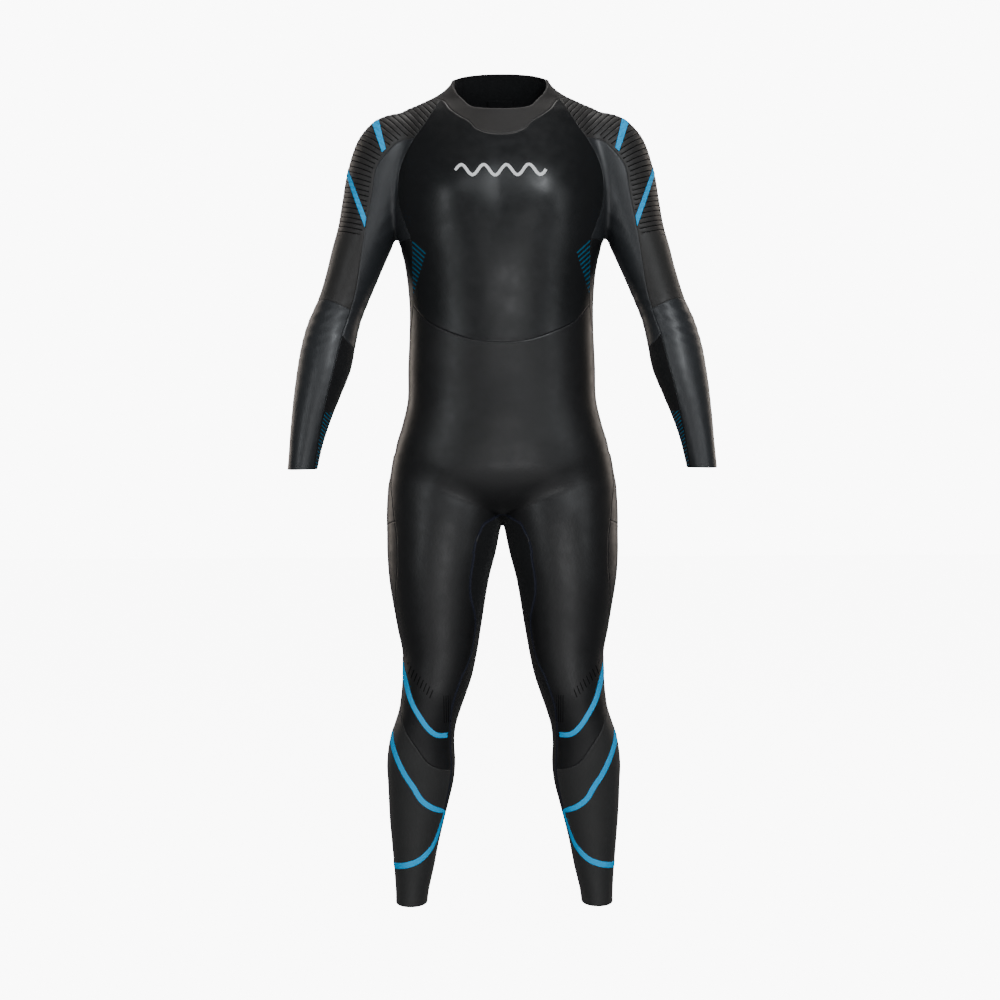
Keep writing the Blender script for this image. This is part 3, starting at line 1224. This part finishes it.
def dashes(name, xs, t, top, n, body):
    """A run of thread dashes a little inside a piece's edge."""
    rows, cols = top.shape[:2]
    path = [(i, 2) for i in range(2, rows - 2)] + [(rows - 3, j) for j in range(2, cols - 2)]
    path += [(i, cols - 3) for i in range(rows - 3, 2, -1)]
    path = [(top[i, j], n[i, j]) for i, j in path]
    runs = [(path[k][0], path[k + 1][0], path[k][1]) for k in range(0, len(path) - 2, 2)]
    return thread(name, runs, "thread", body)


def thread(name, runs, material, body, wide=0.28, high=0.12):
    """Stitches, each a small rounded bar from one point to another, with the direction out of the cloth."""
    points, faces = [], []
    for a, b, up in runs:
        run = (b - a) / max(np.linalg.norm(b - a), 1e-6)
        side = np.cross(up, run) * wide
        base = len(points)
        for q, s in ((a, 0.6), (a + (b - a) * 0.5, 1.0), (b, 0.6)):
            crest = up * high * s
            points += [q + side - up * 0.2, q + side * s + crest, q - side * s + crest, q - side - up * 0.2]
        for m in range(2):
            for c in range(4):
                p, r = base + m * 4 + c, base + m * 4 + (c + 1) % 4
                faces.append((p, r, r + 4, p + 4))
        faces += [(base + 3, base + 2, base + 1, base), (base + 8, base + 9, base + 10, base + 11)]
    mesh = bpy.data.meshes.new(name)
    mesh.from_pydata([tuple(np.array(p) * 0.001) for p in points], [], faces)
    mesh.materials.append(MATERIALS[material])
    o = bpy.data.objects.new(name, mesh)
    bpy.context.scene.collection.objects.link(o)
    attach(o, body)
    return o


def seam_runs(column, chosen, offset, pitch=3.4, share=0.62):
    """Stitches beside a seam, from the mesh corners that lie on it, taken from the bottom up."""
    on = chosen & (marks[:, column] < 0.05)
    points = OUT[on][np.argsort(OUT[on][:, 2])]
    levels = np.arange(points[0, 2], points[-1, 2], 2.0)
    track = np.stack([np.interp(levels, points[:, 2], points[:, k]) for k in range(3)], 1)
    for _ in range(3):
        track[1:-1] = (track[:-2] + 2 * track[1:-1] + track[2:]) / 4
    gone = np.r_[0, np.cumsum(np.linalg.norm(np.diff(track, axis=0), axis=1))]
    starts = np.arange(2, gone[-1] - pitch, pitch)
    place = lambda q: np.stack([np.interp(q, gone, track[:, k]) for k in range(3)], 1)
    a, b = place(starts), place(starts + pitch * share)
    up = normals_at(a)
    run = b - a
    side = np.cross(up, run / np.linalg.norm(run, axis=1)[:, None])
    return [(p + w * offset, q + w * offset, u) for p, q, u, w in zip(a, b, up, side)]


middle_y = np.interp(V[:, 2], sleeve.z, sleeve.keys[CENTRE_Y])
for side, sign in (("left", 1), ("right", -1)):
    here = V[:, 0] * sign > 0
    arm_front = here & (V[:, 2] > 850) & (V[:, 2] < 1012) & (V[:, 1] < middle_y) & (np.abs(V[:, 0]) > 200)
    thread(f"fine_sleeve_stitching_{side}", seam_runs(SLEEVE_SEAM, arm_front, 0.0), "stitch_light", "suit")
    beta = bearing(V[:, 0], V[:, 1], V[:, 2])
    leg_front = here & (V[:, 2] > 20) & (V[:, 2] < 676) & ((V[:, 1] < 0) | (V[:, 2] < 612))
    leg_front &= np.abs(inner_edge(V)) < 0.5
    runs = seam_runs(INSEAM, leg_front, -1.9) + seam_runs(INSEAM, leg_front, 1.9)
    thread(f"fine_inseam_stitching_{side}", runs, "stitch_navy", "suit")

collar_piece("fine_collar_tab", -20, 42, 1399, 1425, 1.6, 3.4, "collar_tab", "tab", ("collar_tab",), 8)
collar_piece("fine_collar_tab_root", -44, -20.4, 1399, 1425, 0.3, 3.4, "collar_tab", "suit",
    ("collar_tab_root",))
collar_piece("fine_collar_loop_patch", 12, 45, 1400, 1424, 0.1, 1.3, "loop_pile", "suit",
    ("collar_loop_patch",), stitches=False)

# The hard parts of the zip keep their own solids, with softened edges.
for node, slot in (
    ("zip_slider", "slider_metal"), ("zip_puller", "puller_grip"), ("zip_bottom_stop", "metal"),
    ("zip_top_stop_left", "metal"), ("zip_top_stop_right", "metal"),
):
    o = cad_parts[node]
    o.data.materials.clear()
    o.data.materials.append(MATERIALS[slot])
    bevel = o.modifiers.new("softened edges", "BEVEL")
    bevel.width = 0.00025
    bevel.segments = 2
    bevel.limit_method = "ANGLE"
    bevel.angle_limit = math.radians(35)

# ------------------------------------------------------------------ stage, light and camera


def stage_plane(name, size, place, turn, colour, strength):
    mesh = bpy.data.meshes.new(name)
    h = size / 2
    mesh.from_pydata([(-h, -h, 0), (h, -h, 0), (h, h, 0), (-h, h, 0)], [], [(0, 1, 2, 3)])
    m, nodes, links, bsdf = principled(name)
    bsdf.inputs["Base Color"].default_value = (*colour, 1)
    bsdf.inputs["Roughness"].default_value = 0.9
    bsdf.inputs["Specular IOR Level"].default_value = 0.1
    bsdf.inputs["Emission Color"].default_value = (1, 1, 1, 1)
    bsdf.inputs["Emission Strength"].default_value = strength
    mesh.materials.append(m)
    o = bpy.data.objects.new(name, mesh)
    o.location, o.rotation_euler = place, turn
    bpy.context.scene.collection.objects.link(o)
    o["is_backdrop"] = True
    return o


for plane in (
    stage_plane("floor", 24, (0, 0, -0.001), (0, 0, 0), (0.93, 0.93, 0.93), 9.0),
    stage_plane("backdrop", 30, (0, 9.0, 6), (math.radians(90), 0, 0), (0.95, 0.95, 0.95), 9.5),
):
    plane.visible_diffuse = False
    plane.visible_glossy = False


def area_light(name, place, aim, size, power, colour, size_y=None):
    data = bpy.data.lights.new(name, "AREA")
    data.shape = "RECTANGLE"
    data.size, data.size_y = size, size_y or size
    data.energy, data.color = power, colour
    o = bpy.data.objects.new(name, data)
    o.location = place
    o.rotation_euler = (Vector(aim) - Vector(place)).to_track_quat("-Z", "Y").to_euler()
    bpy.context.scene.collection.objects.link(o)
    return o


area_light("key", (1.0, -2.95, 2.65), (0, 0, 0.95), 0.7, 48, (0.93, 0.97, 1.0), 1.2)
area_light("second", (-0.6, -3.1, 2.7), (0, 0, 0.95), 0.5, 8, (0.93, 0.97, 1.0), 1.0)
area_light("left", (-2.0, -2.6, 1.3), (0, 0, 0.9), 0.5, 17, (0.93, 0.97, 1.0), 2.0)
area_light("right", (2.2, -2.5, 1.3), (0, 0, 0.9), 0.5, 12, (0.93, 0.97, 1.0), 2.0)
area_light("low", (0.3, -3.2, 0.25), (0, 0, 0.40), 1.2, 14, (0.97, 0.98, 1.0), 0.5)
area_light("bounce", (0.0, -1.3, 0.04), (0, -0.1, 0.85), 1.8, 3.5, (1.0, 1.0, 1.0), 1.0)
area_light("top", (0, 0.3, 3.4), (0, 0, 1.0), 1.4, 22, (1.0, 0.97, 0.94))
area_light("back_left", (-2.0, 1.6, 1.4), (0, 0, 0.8), 0.8, 16, (1.0, 0.88, 0.78), 2.2)
area_light("back_right", (2.0, 1.6, 1.4), (0, 0, 0.8), 0.8, 16, (1.0, 0.88, 0.78), 2.2)

world = bpy.data.worlds.new("studio")
world.use_nodes = True
world.node_tree.nodes["Background"].inputs["Color"].default_value = (0.86, 0.88, 0.9, 1)
world.node_tree.nodes["Background"].inputs["Strength"].default_value = 0.14
bpy.context.scene.world = world

CAMERA_PLACE, CAMERA_AIM = (-0.004, -3.0, 0.803), (-0.004, 0, 0.700)
camera = bpy.data.objects.new("camera", bpy.data.cameras.new("camera"))
camera.data.lens = 62.8
camera.data.sensor_width = 36
camera.location = CAMERA_PLACE
aim = Vector(CAMERA_AIM) - camera.location
camera.rotation_euler = aim.to_track_quat("-Z", "Y").to_euler()
camera.rotation_euler.rotate_axis("Z", math.radians(-0.3))
bpy.context.scene.collection.objects.link(camera)
bpy.context.scene.camera = camera

low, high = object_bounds()
